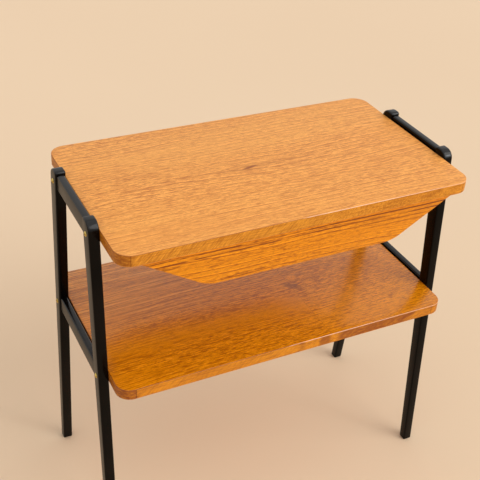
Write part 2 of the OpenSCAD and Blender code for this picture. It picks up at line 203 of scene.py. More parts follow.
# %% Start and close a finish
def new_finish(name, fixed, turned=(0, 0, 0), shift=(0, 0, 0)):
    finish = bpy.data.materials.new(name)
    finish.use_nodes = True
    for socket, value in fixed.items():
        finish.node_tree.nodes["Principled BSDF"].inputs[socket].default_value = value
    place = Wire(finish.node_tree).node("ShaderNodeTexCoord", {}, {}, "Object")
    angles = [math.radians(angle) for angle in turned]
    sockets = {"Vector": place, "Location": shift, "Rotation": angles}
    return finish, place.node("ShaderNodeMapping", {}, sockets)


def own_axes(finish, kind="Object"):
    """The piece's own X, Y and Z, neither turned nor shifted, or with kind Normal the way that it faces."""
    return axes(Wire(finish.node_tree).node("ShaderNodeTexCoord", {}, {}, kind))


def close_finish(finish, colour, roughness=None, height=None, depth=0.0, coat=None):
    """Links what varies: colour, roughness, a bump of this depth in metres, and a coat's weight."""
    sockets = finish.node_tree.nodes["Principled BSDF"].inputs
    link = finish.node_tree.links.new
    link(colour.socket, sockets["Base Color"])
    if roughness:
        link(roughness.socket, sockets["Roughness"])
    if height:
        bump = height.node("ShaderNodeBump", {}, {"Height": height, "Distance": depth, "Strength": 1.0})
        link(bump.socket, sockets["Normal"])
    if coat:
        link(coat.socket, sockets["Coat Weight"])
    print("finish", finish.name, "has", len(finish.node_tree.nodes), "nodes")
    return finish


# %% [markdown]
# ## Floor, room and light
# The table stands on a plain pale floor. A small square would show its edge behind the table, so the plane
# is 60 m wide and runs to the horizon. Slow noise mixes two near shades, so it isn't one flat colour.

# %% Floor
bpy.ops.object.select_all(action="DESELECT")
bpy.ops.mesh.primitive_plane_add(size=60)
floor = bpy.context.object
floor.name = "floor"
floor_finish, place = new_finish("pale_floor", {"Roughness": 0.7, "Specular IOR Level": 0.2})
patches = noise(place, 0.9, detail=3)
close_finish(floor_finish, tint(patches, (0.735, 0.545, 0.370), (0.765, 0.575, 0.395)))
floor.data.materials.append(floor_finish)

# %% [markdown]
# Lamps alone would leave the lacquer nothing to mirror, so the room itself is pale too. The world could
# simply be bright, but it would then light the table too strongly. The Light Path node tells the rays
# apart: the camera and reflections see a brighter room than the one that lights the wood.

# %% Room
ROOM_AS_LIGHT = 0.67
ROOM_EXTRA_WHEN_SEEN = 0.24

room = bpy.data.worlds.new("room")
bpy.context.scene.world = room
room.use_nodes = True
rays = Wire(room.node_tree).node("ShaderNodeLightPath", {}, {}).socket.node
kinds = ("Is Camera Ray", "Is Glossy Ray", "Is Transmission Ray")
camera_ray, glossy_ray, clear_ray = [Wire(room.node_tree, rays.outputs[kind]) for kind in kinds]
seen = step(camera_ray + glossy_ray + clear_ray, 0, 1)
strength = seen * ROOM_EXTRA_WHEN_SEEN + ROOM_AS_LIGHT
background = room.node_tree.nodes["Background"]
background.inputs["Color"].default_value = (1.0, 0.985, 0.965, 1)
room.node_tree.links.new(strength.socket, background.inputs["Strength"])
print("room strength", ROOM_AS_LIGHT, "as a light,", ROOM_EXTRA_WHEN_SEEN, "more when seen")

# %% [markdown]
# Area lamps would leave a pool of light on the floor, so the lamps are suns, which light it evenly to the
# horizon. A wide sun gives soft shadows. Three of them stand for a room with a window: the window itself
# from the right, its brightest pane, which draws a crisp glint along each rounded edge, and the open sky.

# %% Soft suns
MIDDLE_OF_TABLE = Vector((0, 0, 0.4))


def soft_sun(name, place, strength, wide, colour):
    """A sun that shines from a place towards the table; wide is the angle that it fills, in degrees."""
    bpy.ops.object.light_add(type="SUN", location=place)
    lamp = bpy.context.object
    lamp.name = name
    lamp.rotation_euler = (MIDDLE_OF_TABLE - Vector(place)).to_track_quat("-Z", "Y").to_euler()
    lamp.data.energy = strength
    lamp.data.angle = math.radians(wide)
    lamp.data.color = colour
    print("sun", name, "strength", strength, "over", wide, "degrees")


soft_sun("window", place=(2.00, -2.35, 2.45), strength=1.28, wide=52, colour=(1.0, 0.99, 0.965))
soft_sun("window_pane", place=(2.40, -2.76, 2.05), strength=0.34, wide=14, colour=(0.84, 0.92, 1.0))
soft_sun("sky", place=(0.3, -0.9, 3.0), strength=0.66, wide=90, colour=(0.97, 0.985, 1.0))

# %% [markdown]
# ## Teak
# Teak's look is built in layers, from coarse to fine: broad bands of colour where the tree grew fast or
# slowly, streaks a few millimetres wide, fine flecks, and open pores as short dark dashes. A picture of
# wood would repeat and would smear on the edges. One recipe makes the layers, after it has bent the
# coordinates a little, because no tree grows straight.

# %% Grain layers
def fibre(place, along, across, detail=1, roughness=0.5):
    """Noise pulled out along X, the way of the grain."""
    return stretched(place, along, across, across, detail, roughness)


def grain(place, waver=4 * MM, ring=10 * MM, dashes=60):
    """Layers of wood from about 0 to 1. Waver and ring, a year's width, are in metres; dashes per metre."""
    x, y, z = axes(place)
    drift = fibre(place, 2.2, 5, 2) - 0.5
    ripple = fibre(place, 11, 30) - 0.5
    bent_y = y + drift * (waver * 6) + ripple * (waver * 0.8)
    bent_z = z + drift * (waver * 3) + ripple * (waver * 0.5)
    bent = point(x, bent_y, bent_z)
    uneven = fibre(bent, 2.0, 6) * 5 + fibre(bent, 0.8, 14) * 4
    years = (bent_y + bent_z * 0.8) / ring + uneven
    return {
        "bent": bent,
        "year": years.maths("FRACT", years),
        "patches": fibre(bent, 1.6, 9),  # areas where the dashes crowd
        "bands": fibre(bent, 0.9, 16, 2),  # 6 cm wide
        "streaks": fibre(bent, 4, 150, 3, 0.6),  # 7 mm wide
        "dashes": fibre(bent, dashes, 460, 2, 0.6),  # 2 mm wide
        "flecks": fibre(bent, 150, 900, 3, 0.6),  # 1 mm wide
        "pores": fibre(bent, 160, 2400),  # 0.4 mm wide
    }


# %% [markdown]
# Each year of growth ends in a dark line and starts again with a pale one. A repeating ramp across the
# grain has a jump once a year; two masks on that ramp draw the pair of lines, and noise lets them fade
# in and out along the board.

# %% Year lines
def year_lines(layers):
    """Masks of the dark line where a year ends and of the pale one where the next starts."""
    year = layers["year"]
    uneven = step(fibre(layers["bent"], 3.5, 60, 2), 0.38, 0.58)
    late = step(year, 0.80, 0.93) * (1 - step(year, 0.95, 0.99))
    early = step(year, 0.01, 0.08) * (1 - step(year, 0.12, 0.30))
    return late * uneven, early * uneven


# %% [markdown]
# The layers are now mixed over three shades of one wood, coarse ones first, so that the fine ones stay
# crisp on top. A sum of them would turn to mud; a mix towards the dark or the light shade keeps every
# spot a colour that teak has. The same pores also make the bump.

# %% Lay the grain
def lay_grain(layers, shades, strength=1.0, lines=0.62, speckle=0.60):
    """Colour from the layers; the numbers scale all of them, the year lines, and the dashes and flecks."""
    pale, deep, dark = shades
    light = [min(1, part * 1.18 + 0.004) for part in pale]
    colour = tint(step(layers["bands"], 0.3, 0.7), pale, deep)
    colour = tint(step(layers["streaks"], 0.50, 0.74) * (0.32 * strength), colour, dark)
    colour = tint((1 - step(layers["streaks"], 0.30, 0.46)) * (0.36 * strength), colour, light)
    late, early = year_lines(layers)
    colour = tint(late * (lines * strength), colour, dark)
    colour = tint(early * (lines * 0.7 * strength), colour, light)
    busy = 0.40 + step(layers["patches"], 0.38, 0.60) * 0.85
    colour = tint(step(layers["dashes"], 0.54, 0.64) * busy * (speckle * strength), colour, dark)
    colour = tint((1 - step(layers["dashes"], 0.34, 0.46)) * busy * (speckle * strength), colour, light)
    colour = tint(step(layers["flecks"], 0.52, 0.64) * busy * (speckle * 0.75 * strength), colour, dark)
    return tint(step(layers["pores"], 0.58, 0.70) * (0.40 * strength), colour, [part * 0.5 for part in dark])


def open_grain(layers):
    """Height of a finished surface: the pores and the soft early wood lie a little lower."""
    pores = step(layers["pores"], 0.56, 0.70) * 0.6
    dashes = step(layers["dashes"], 0.5, 0.7) * 0.5
    return 0 - pores - dashes - layers["streaks"] * 0.3


# %% [markdown]
# The upper arris of a board holds dark polish along most of its length. Along the right half of the front
# and the right end it carries a painted highlight instead: a pale strip for the window's glint in the
# rounded arris. A mask from the height just under the top face picks out the arris, and noise lets the
# painted highlight start unevenly.

# %% Dark polish and painted highlight along an arris
def arris_polish_and_highlight(finish, high_z, colour, dark):
    """Colours the upper arris of a board whose top face is at high_z: dark polish, and a painted highlight
    at the right.
    """
    x, y, z = own_axes(finish)
    arris = 1 - step(z, high_z - 0.30 * MM, high_z - 0.03 * MM)
    arris = arris * step(z, high_z - 1.2 * MM, high_z - 1.0 * MM)
    uneven = noise(point(x + y, 0.0, 0.0), 30, detail=3) * (160 * MM)
    # Where the painted highlight lies: the right half of the front and the right end, starting unevenly.
    shine_mask = step(x - y * 0.9 + uneven, 190 * MM, 250 * MM)
    colour = tint(arris * (1 - shine_mask) * 0.85, colour, dark)
    share = 0.75 - step(x, 100 * MM, 260 * MM) * 0.35
    # Painted highlight: the arris is tinted a pale pinkish white for the window's glint, weaker towards the
    # right end.
    return tint(arris * shine_mask * share, colour, (0.86, 0.62, 0.50))


# %% [markdown]
# The top is one quiet leaf of veneer, dulled by use: long soft lines, an even speckle, and one small dark
# figure near the middle, with a wide faint shade round it. The speckle comes from the recipe, with its
# patches evened out. The figure could be painted on, but an oval mask stays exact at any size.

# %% Teak of the top
TOP_SHADES = ((0.82, 0.355, 0.075), (0.78, 0.318, 0.063), (0.51, 0.162, 0.030))
PORE_DEPTH = 0.05 * MM


def teak_top():
    finish, place = new_finish("teak_top", {"IOR": 1.38}, shift=(0.31, 0.17, 0))
    layers = grain(place, waver=3 * MM, ring=8.5 * MM)
    layers["patches"] = layers["patches"] * 0.32 + 0.33
    x, y, z = own_axes(finish)
    figure_x = (x + 17 * MM) / (16 * MM)
    figure = oval(figure_x, (y + 3 * MM - figure_x * (3 * MM)) / (3.5 * MM), 0.1, 1.0)
    shade = oval((x + 10 * MM) / (75 * MM), (y + 2 * MM) / (12 * MM), 0.0, 1.0)
    mottle = step(noise(place, 150, detail=2), 0.5, 0.75)
    colour = lay_grain(layers, TOP_SHADES, strength=1.15, lines=1.20, speckle=0.80)
    colour = tint(mottle * 0.22, colour, (0.57, 0.200, 0.034))
    colour = tint(figure * 0.72 + shade * 0.16, colour, (0.24, 0.055, 0.012))
    # The upper arris gets dark polish and, at the right, a painted highlight.
    colour = arris_polish_and_highlight(finish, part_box("top_core")[1].z, colour, (0.30, 0.085, 0.02))
    return close_finish(finish, colour, 0.46 + layers["flecks"] * 0.12, open_grain(layers), PORE_DEPTH)


TOP = teak_top()

# %% [markdown]
# The drawer front is a stronger, more orange cut of the same wood. Its dark lines lie close together just
# under the table top, as where a knife left the heart of the log. Noise alone scatters lines evenly, so
# here a wave across the grain makes evenly spaced lines, noise bends them, and a mask fades them towards
# the bottom. They are broken into short lengths at the left and run on unbroken at the right.

# %% Dark lines of the drawer front
front_low, front_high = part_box("drawer_front")
LINE_GAP = 6.8 * MM


def front_lines(place, layers, z, right_half):
    phase = z * (2 * math.pi / LINE_GAP) + (layers["bands"] - 0.5) * 6
    wave = phase.maths("SINE", phase)
    below = (front_high.z - z) / (front_high.z - front_low.z)
    near_top = 1 - step(below, 0.22, 0.60) * 0.85
    lengths = step(fibre(place, 42, 150), 0.40, 0.56) + right_half
    lengths = lengths.maths("MINIMUM", lengths, 1) * 0.70 + 0.30
    broken = step(layers["streaks"], 0.34, 0.56) * near_top * lengths
    clear_edge = step(front_high.z - z, 0.5 * MM, 1.5 * MM)
    return step(wave + (layers["flecks"] - 0.5) * 0.8, 0.20, 0.80) * broken * clear_edge


# %% [markdown]
# Between the lines lie the cut vessels of the wood, dashes three millimetres wide that thin out to the
# right, and low on the left they crowd into one small dark figure. The figure multiplies its oval with the
# vessels, so it has their broken outline instead of a smooth one.

# %% Teak of the drawer front
FRONT_SHADES = ((0.83, 0.292, 0.0030), (0.77, 0.245, 0.0020), (0.38, 0.085, 0.0015))


def teak_front():
    finish, place = new_finish("teak_front", {"IOR": 1.40, "Specular IOR Level": 0.40})
    layers = grain(place, waver=2.5 * MM, ring=8.5 * MM, dashes=105)
    x, y, z = axes(layers["bent"])
    right_half = step(x, -40 * MM, 100 * MM)
    colour = lay_grain(layers, FRONT_SHADES, 1.05, 1.0, 0.6 - right_half * 0.30)
    vessels = fibre(layers["bent"], 40, 360, 3, 0.6)
    colour = tint(step(vessels, 0.56, 0.64) * (0.66 - right_half * 0.36), colour, (0.31, 0.068, 0.002))
    figure_x = x + 95 * MM
    figure_z = z - front_low.z - 5.5 * MM - figure_x * 0.03
    figure = oval(figure_x / (42 * MM), figure_z / (2.6 * MM), 0.2, 1.2) * step(vessels, 0.44, 0.56)
    colour = tint(figure * 0.7, colour, (0.20, 0.035, 0.003))
    colour = tint(front_lines(place, layers, z, right_half) * 0.90, colour, (0.17, 0.028, 0.003))
    return close_finish(finish, colour, 0.34 + layers["flecks"] * 0.12, open_grain(layers), PORE_DEPTH)


FRONT = teak_front()

# %% [markdown]
# The lippings are cut across the rays of the wood, so they show short leaning flecks and soft ribbons
# instead of long lines. Towards the right the flecks shrink to specks. Two finishes would meet in a seam,
# so one finish has both patterns, and a mask along the board slides from one to the other.

# %% Flecks and ribbons of a lipping
def lipping_wood(lean, x, shades, leaning, blot_share):
    """Colour of the wood, and its flecks and ribbons for further use."""
    pale, deep, dark = shades
    light = [min(1, part * 1.25) for part in pale]
    flecks = stretched(lean, 430, 430, 90, 3, 0.65)
    specks = (stretched(lean, 400, 400, 330, 2, 0.7) - 0.5) * 1.7 + 0.5
    flecks = flecks + (specks - flecks) * (step(x, -100 * MM, 120 * MM) * 0.85)
    ribbons = stretched(lean, 60, 60, 14, 3)
    colour = tint(step(stretched(lean, 9, 9, 1), 0.35, 0.65), pale, deep)
    colour = tint(step(ribbons, 0.48, 0.72) * 0.22, colour, dark)
    colour = tint((1 - step(ribbons, 0.28, 0.46)) * 0.30, colour, light)
    colour = tint(step(flecks, 0.49, 0.63) * (0.50 * leaning), colour, dark)
    colour = tint((1 - step(flecks, 0.34, 0.49)) * (0.75 * leaning), colour, light)
    fibres = step(stretched(lean, 30, 30, 700, 2), 0.5, 0.62)
    blots = step(stretched(lean, 26, 26, 36, 2), 0.60, 0.72)
    colour = tint(fibres * 0.40, colour, dark)
    return tint(blots * blot_share, colour, dark), flecks, ribbons


# %% [markdown]
# A lipping is glued on in lengths, and each length is another stick of teak. A thin dark joint shows near
# each end of the front. The left end is a stick of its own and is painted darker, partly for its own wood
# and partly as painted shade, since it faces away from the window. At the right a redder length starts at a
# knot.
# All are masks along the edge; X minus Y keeps growing round the right corner, so the red goes round it.

# %% Joints, painted shade on the left end, and knot of a lipping
def lipping_marks(colour, dark, lean, x, y, ribbons, to_right, joint_x):
    """Marks at joint_x left and right of the middle; to_right scales the red length and its knot."""
    cloudy = step(stretched(lean, 110, 110, 320, 3, 0.6), 0.36, 0.64)
    round_corner = x - y + (ribbons - 0.5) * (20 * MM)
    weaker = step(round_corner, 340 * MM, 380 * MM)
    red_length = step(round_corner, 222 * MM, 242 * MM) * (1 - weaker * 0.75)
    colour = tint(red_length * (0.55 + cloudy * 0.45) * to_right, colour, dark)
    knot = band(round_corner - 208 * MM, 4 * MM, 13 * MM)
    colour = tint(knot * to_right * 0.75, colour, dark)
    # Painted shade, mottled like the wood: the left end, which faces away from the window, is darker.
    left_end_stick_and_shade = 1 - step(x, -joint_x - 0.4 * MM, -joint_x + 0.8 * MM)
    colour = tint(left_end_stick_and_shade * (cloudy * 0.70 + 0.28), colour, dark)
    near_joint = band(x + joint_x, 0.5 * MM, 9 * MM)
    colour = tint(near_joint * (cloudy * 0.35 + 0.20), colour, dark)
    joint = band(x.maths("ABSOLUTE", x) - joint_x, 0.15 * MM, 0.7 * MM)
    return tint(joint * 0.75, colour, [part * 0.4 for part in dark])


# %% [markdown]
# Shifting X by the depth below the top leans the whole pattern. Because the noise is solid, it runs round
# the corners of the board without a break, which a pattern mapped to each face would not.

# %% Teak of the lippings
TOP_EDGE_SHADES = ((0.67, 0.265, 0.024), (0.60, 0.220, 0.017), (0.33, 0.090, 0.006))
SHELF_EDGE_SHADES = ((0.67, 0.245, 0.014), (0.60, 0.205, 0.011), (0.24, 0.055, 0.012))


def teak_edge(name, node, shades, joint_x, leaning, blot_share, to_right):
    finish, place = new_finish(name, {"IOR": 1.4, "Specular IOR Level": 0.25})
    x, y, z = axes(place)
    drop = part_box(node)[1].z - z
    lean = point(x + drop * 0.85, y, drop)
    colour, flecks, ribbons = lipping_wood(lean, x, shades, leaning, blot_share)
    colour = lipping_marks(colour, shades[2], lean, x, y, ribbons, to_right, joint_x)
    return close_finish(finish, colour, 0.36 + flecks * 0.12, 0 - step(flecks, 0.5, 0.7), 0.04 * MM)


top_marks = {"joint_x": 263 * MM, "leaning": 1.0, "blot_share": 0.50, "to_right": 0.10}
shelf_marks = {"joint_x": 256 * MM, "leaning": 0.6, "blot_share": 0.90, "to_right": 0.85}
TOP_EDGE = teak_edge("teak_top_edge", "top_core", TOP_EDGE_SHADES, **top_marks)
SHELF_EDGE = teak_edge("teak_shelf_edge", "shelf_core", SHELF_EDGE_SHADES, **shelf_marks)

# %% [markdown]
# The shelf's veneer is two leaves, butted a little right of the middle. It is a deep orange in front.
# Towards the rear and the left it is painted paler and greyer: a painted sheen, standing for the pale room
# mirrored in the shelf. Long fine lines show there. Masks along Y and X place these, so that one area runs
# softly into the next.

# %% Wood of the shelf
SHELF_SHADES = ((0.69, 0.228, 0.0010), (0.61, 0.182, 0.0008), (0.34, 0.082, 0.0006))


def shelf_wood(layers, x, y, right_leaf):
    painted_sheen_zone = step(y - x * 0.25, -30 * MM, 100 * MM)
    lined = step(y - x * 0.10, -50 * MM, 70 * MM)
    colour = lay_grain(layers, SHELF_SHADES, 1.25, 1.15, right_leaf + painted_sheen_zone * 0.35 + 0.80)
    # Painted sheen: the rear and left of the shelf are tinted paler and greyer, for the pale room mirrored
    # in it.
    colour = tint(painted_sheen_zone * 0.30, colour, (0.82, 0.34, 0.085))
    lines = fibre(layers["bent"], 5, 330, 3, 0.6)
    colour = tint(lined * step(lines, 0.50, 0.64) * 0.55, colour, (0.26, 0.060, 0.003))
    colour = tint(lined * (1 - step(lines, 0.36, 0.48)) * 0.50, colour, (1.0, 0.45, 0.08))
    return tint(step(x, 0, 160 * MM) * (painted_sheen_zone * 0.18 + 0.10), colour, (0.98, 0.41, 0.010))


# %% [markdown]
# The shelf keeps more of its lacquer than the top, so it mirrors the legs and the underside of the drawer
# softly: its roughness is low. Shifting the coordinates beyond the joint starts another leaf, and a small
# dark figure lies across it, an oval turned off the grain whose outline the streaks make ragged.

# %% Teak of the shelf
LEAF_JOINT = 65.7 * MM


def teak_shelf():
    finish, place = new_finish("teak_shelf", {"IOR": 1.45})
    x, y, z = axes(place)
    right_leaf = step(x, LEAF_JOINT - 0.2 * MM, LEAF_JOINT + 0.3 * MM)
    layers = grain(point(x + right_leaf * 0.9, y + right_leaf * 0.23, z), 3 * MM, 7.5 * MM)
    from_x = x - 74 * MM + layers["streaks"] * (12 * MM)
    from_y = y + 24 * MM - layers["dashes"] * (6 * MM)
    across = (from_x * 0.66 + from_y * 0.75) / (7.5 * MM)
    lengthwise = (from_x * 0.75 - from_y * 0.66) / (19 * MM)
    figure = oval(across, lengthwise, 0.0, 1.6)
    seam = band(x - LEAF_JOINT, 0.1 * MM, 0.9 * MM)
    colour = shelf_wood(layers, x, y, right_leaf)
    colour = tint(figure * 0.60 + seam * 0.20, colour, (0.17, 0.035, 0.004))
    # The upper arris gets dark polish and, at the right, a painted highlight.
    colour = arris_polish_and_highlight(finish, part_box("shelf_core")[1].z, colour, (0.20, 0.045, 0.006))
    return close_finish(finish, colour, 0.17 + layers["flecks"] * 0.08, open_grain(layers), 0.03 * MM)


SHELF = teak_shelf()

# %% [markdown]
# The drawer's slanted sides, its back and the trays are the same wood, cut plainer. One recipe serves all
# of them; a Mapping node turns the grain to run along each piece.

# %% Plain teak
DRAWER_SHADES = ((0.66, 0.24, 0.035), (0.56, 0.18, 0.022), (0.34, 0.09, 0.010))
TRAY_SHADES = ((0.60, 0.27, 0.085), (0.50, 0.21, 0.060), (0.30, 0.11, 0.028))
ALONG_X = (0, 0, 0)
ALONG_Y = (0, 0, 90)


def plain_teak(name, shades, turned, roughness):
    finish, place = new_finish(name, {"IOR": 1.45}, turned=turned, shift=(0.7, 0.4, 0.2))
    layers = grain(place, waver=3 * MM)
    colour = lay_grain(layers, shades, strength=0.85)
    return close_finish(finish, colour, roughness + layers["flecks"] * 0.15, open_grain(layers), 0.06 * MM)


SIDES = plain_teak("teak_drawer_sides", DRAWER_SHADES, ALONG_Y, 0.40)
BACK = plain_teak("teak_drawer_back", DRAWER_SHADES, ALONG_X, 0.40)
TRAY_LONG = plain_teak("teak_tray_long", TRAY_SHADES, ALONG_X, 0.48)
TRAY_CROSS = plain_teak("teak_tray_cross", TRAY_SHADES, ALONG_Y, 0.48)

# %% [markdown]
# ## Black lacquer
# The frames are beech under several coats of black. The base is a very dark brown, and nearly everything
# that is seen is reflection. Real lacquer is never quite smooth: the grain shows as faint ripples, and
# hands leave duller patches. It is rubbed to a shine where hands and feet reach it, on upward faces and on
# the outside of the frames, so the shader's coat lies only there, found from the way the surface faces.

# %% Black lacquer
def black_lacquer():
    fixed = {"IOR": 1.28, "Specular IOR Level": 0.24, "Coat Roughness": 0.14}
    finish, place = new_finish("black_lacquer", fixed)
    ripples = stretched(place, 320, 320, 28, 3)
    handling = noise(place, 14, detail=3)
    peel = noise(place, 480, detail=1)
    colour = tint(step(handling, 0.35, 0.7), (0.0014, 0.0009, 0.0006), (0.0034, 0.0022, 0.0016))
    x = axes(place)[0]
    facing_x, _, facing_z = own_axes(finish, "Normal")
    outside = step(facing_x * x * 3.5, 0.6, 0.95)
    roughness = 0.11 + step(handling, 0.3, 0.75) * 0.08 + ripples * 0.05 + outside * 0.24
    shine_mask = step(facing_z, 0.10, 0.70) * 0.48 + outside * 0.22
    return close_finish(finish, colour, roughness, ripples * 0.8 + peel * 0.25, 0.07 * MM, shine_mask)


LACQUER = black_lacquer()

# %% [markdown]
# ## Metal, beech and plywood
# Metals take their colour from the reflection, so Metallic is 1 and the base colour is the metal's own.
# Old brass is duller and browner in patches; clouds of noise mix that colour in and raise the roughness.

# %% Brass and steel
def metal(name, bright, dull, tarnish):
    finish, place = new_finish(name, {"Metallic": 1.0})
    clouds = step(noise(place, 320, detail=2), 0.40, 0.66)
    scratches = stretched(place, 900, 4000, 4000)
    colour = tint(clouds * tarnish, bright, dull)
    return close_finish(finish, colour, 0.20 + clouds * 0.16 + scratches * 0.06, scratches, 0.004 * MM)


BRASS = metal("brass", bright=(0.64, 0.47, 0.14), dull=(0.24, 0.165, 0.05), tarnish=0.65)
STEEL = metal("steel", bright=(0.62, 0.62, 0.64), dull=(0.38, 0.38, 0.38), tarnish=0.40)

# %% [markdown]
# The hidden parts of the drawer and its runners are beech, a cheap hard wood that slides well. It is pale
# and has short dark ray flecks, a third kind of dash that the teak recipe lacks, so it gets its own mix of
# the same layers.

# %% Beech
def beech(name, turned):
    finish, place = new_finish(name, {"IOR": 1.4}, turned=turned, shift=(0.4, 0.1, 0.3))
    layers = grain(place, waver=2 * MM)
    rays = fibre(layers["bent"], 380, 1500, 0)
    colour = tint(step(layers["bands"], 0.3, 0.7), (0.66, 0.44, 0.245), (0.60, 0.37, 0.195))
    colour = tint(step(layers["streaks"], 0.5, 0.8) * 0.35, colour, (0.47, 0.27, 0.13))
    colour = tint(step(rays, 0.62, 0.72) * 0.5, colour, (0.36, 0.18, 0.08))
    return close_finish(finish, colour, 0.50 + layers["flecks"] * 0.15, 0 - rays, 0.04 * MM)


BEECH = beech("beech_along_y", ALONG_Y)
BEECH_X = beech("beech_along_x", ALONG_X)

# %% [markdown]
# Birch plywood is three plies glued crosswise, and shows them on its edge only, where the middle one is
# dark end grain. The plies could be three thin solids, but a band test through the sheet draws them at no
# cost. Each sheet gives the axis of its thickness and where it starts and ends on it.

# %% Birch plywood
def birch_ply(name, node, axis, turned=ALONG_X):
    finish, place = new_finish(name, {"IOR": 1.4}, turned=turned, shift=(0.2, 0.6, 0.1))
    layers = grain(place, waver=5 * MM)
    low, high = [corner[axis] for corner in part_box(node)]
    ply = (high - low) / 6
    middle_ply = band(own_axes(finish)[axis] - (low + high) / 2, ply * 0.85, ply * 1.15)
    colour = tint(step(layers["bands"], 0.3, 0.7), (0.66, 0.42, 0.21), (0.59, 0.36, 0.165))
    colour = tint(step(layers["streaks"], 0.48, 0.8) * 0.4, colour, (0.46, 0.25, 0.105))
    colour = tint(step(layers["flecks"], 0.5, 0.8) * 0.25, colour, (0.38, 0.20, 0.080))
    colour = tint(middle_ply * 0.75, colour, (0.26, 0.13, 0.050))
    return close_finish(finish, colour, 0.42 + layers["flecks"] * 0.15, 0 - layers["flecks"], 0.04 * MM)


BOTTOM_PLY = birch_ply("ply_drawer_bottom", "drawer_bottom", 2)
DIVIDERS = ("middle_divider", "low_divider_left", "low_divider_right")
DIVIDER_PLY = {divider: birch_ply("ply_" + divider, divider, 0, ALONG_Y) for divider in DIVIDERS}
TRAY_PLY = birch_ply("ply_trays", "tray_left_base", 2, ALONG_Y)

# %% [markdown]
# ## Modelling tools
# Every new piece starts as a plain solid at its size and place and is then shaped in edit mode. An
# operator works on all that is selected, and the loaded model starts selected, so each step clears the
# selection first.

# %% Select and start a piece
def select_only(*pieces):
    bpy.ops.object.select_all(action="DESELECT")
    for piece in pieces:
        piece.select_set(True)
    bpy.context.view_layer.objects.active = pieces[0]


def settled(name):
    """Names the new primitive and puts its place and size into its mesh."""
    piece = bpy.context.object
    piece.name = piece.data.name = name
    bpy.ops.object.transform_apply(location=True, rotation=True, scale=True)
    return piece


def block(name, low, high):
    """A box between two corners."""
    bpy.ops.object.select_all(action="DESELECT")
    middle = (Vector(low) + Vector(high)) / 2
    bpy.ops.mesh.primitive_cube_add(size=1, location=middle, scale=Vector(high) - Vector(low))
    return settled(name)


# %% [markdown]
# By hand, one would click the faces or edges to be shaped. In a script they could be called by number, but
# the numbers change with every cut. Here they are picked by where they are or which way they point.

# %% Pick faces, edges or corners
def pick(piece, kind, wanted):
    """In edit mode, selects what passes a test of its middle and its direction."""
    bpy.ops.mesh.select_mode(type=kind)
    bpy.ops.mesh.select_all(action="DESELECT")
    mesh = bmesh.from_edit_mesh(piece.data)
    if kind == "FACE":
        for face in mesh.faces:
            face.select_set(wanted(face.calc_center_median(), face.normal))
    if kind == "EDGE":
        for edge in mesh.edges:
            start, end = (corner.co for corner in edge.verts)
            edge.select_set(wanted((start + end) / 2, (end - start).normalized()))
    if kind == "VERT":
        for corner in mesh.verts:
            corner.select_set(wanted(corner.co, corner.normal))
    bmesh.update_edit_mesh(piece.data)


def editing(on):
    bpy.ops.object.mode_set(mode="EDIT" if on else "OBJECT")


def along(axis):
    """A test for edges that run along an axis: 0, 1 or 2."""
    return lambda middle, direction: abs(direction[axis]) > 0.9


def face_outwards():
    bpy.ops.mesh.select_all(action="SELECT")
    bpy.ops.mesh.normals_make_consistent(inside=False)


# %% [markdown]
# No real arris is razor sharp. A hand plane or sandpaper takes off half a millimetre, and that thin strip
# is what catches the light. The Bevel modifier does this to every edge that is sharper than an angle, and
# smooth shading up to an angle keeps the flats flat.

# %% Finish a piece
SMOOTH_UP_TO = math.radians(32)


def ease(piece, width, segments=2, sharper_than=35):
    bevel = piece.modifiers.new("arris", "BEVEL")
    bevel.width = width
    bevel.segments = segments
    bevel.angle_limit = math.radians(sharper_than)
    bevel.limit_method = "ANGLE"
    bpy.ops.object.modifier_apply(modifier=bevel.name)


def done(piece, body, finish, slot, *nodes):
    """Smooths a piece, gives it its finish, puts it on its body, and hides the CAD nodes that it replaces.
    """
    select_only(piece)
    bpy.ops.object.shade_smooth_by_angle(angle=SMOOTH_UP_TO)
    piece.data.materials.clear()
    piece.data.materials.append(finish)
    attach(piece, body)
    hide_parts(*nodes)
    size = [round(side / MM, 1) for side in piece.dimensions]
    print(piece.name, size, "mm,", len(piece.data.polygons), "faces")


# %% [markdown]
# ## Top and shelf
# Both boards and their lippings have the same outline, a long rectangle with round corners. It could be
# drawn as a curve, but a box whose four upright edges are bevelled in many steps is exact and quick.

# %% Round-cornered box
TOP_CORNER, SHELF_CORNER = 24 * MM, 22 * MM


def rounded_block(name, low, high, radius):
    piece = block(name, low, high)
    editing(True)
    pick(piece, "EDGE", along(2))
    bpy.ops.mesh.bevel(offset=radius, segments=18, affect="EDGES")
    editing(False)
    return piece


# %% [markdown]
# Each board is a core between two thin leaves of veneer, with a lipping let in round it. The face veneer
# runs out over the lipping, so no joint shows on the top, only a fine line just under the edge. The box is
# cut all round just inside each face, and the strip between the cuts is pushed in as the rebate.

# %% Veneered boards
VENEER, LIPPING, BOARD_ARRIS = 0.9 * MM, 3 * MM, 0.8 * MM


def board(name, node, band_node, radius, finish, slot):
    low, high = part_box(band_node)

    def between_cuts(middle, normal):
        return abs(normal.z) < 0.5 and abs(middle.z - (low.z + high.z) / 2) < 4 * MM

    def arris(middle, _):
        return min(abs(middle.z - low.z), abs(middle.z - high.z)) < 0.01 * MM

    piece = rounded_block(name, low, high, radius)
    editing(True)
    for level in (low.z + VENEER, high.z - VENEER):
        bpy.ops.mesh.select_all(action="SELECT")
        bpy.ops.mesh.bisect(plane_co=(0, 0, level), plane_no=(0, 0, 1))
    pick(piece, "FACE", between_cuts)
    inwards = {"value": -LIPPING, "use_even_offset": True}
    bpy.ops.mesh.extrude_region_shrink_fatten(TRANSFORM_OT_shrink_fatten=inwards)
    face_outwards()
    pick(piece, "EDGE", arris)
    bpy.ops.mesh.bevel(offset=BOARD_ARRIS, segments=3, affect="EDGES")
    editing(False)
    done(piece, "table", finish, slot, node)


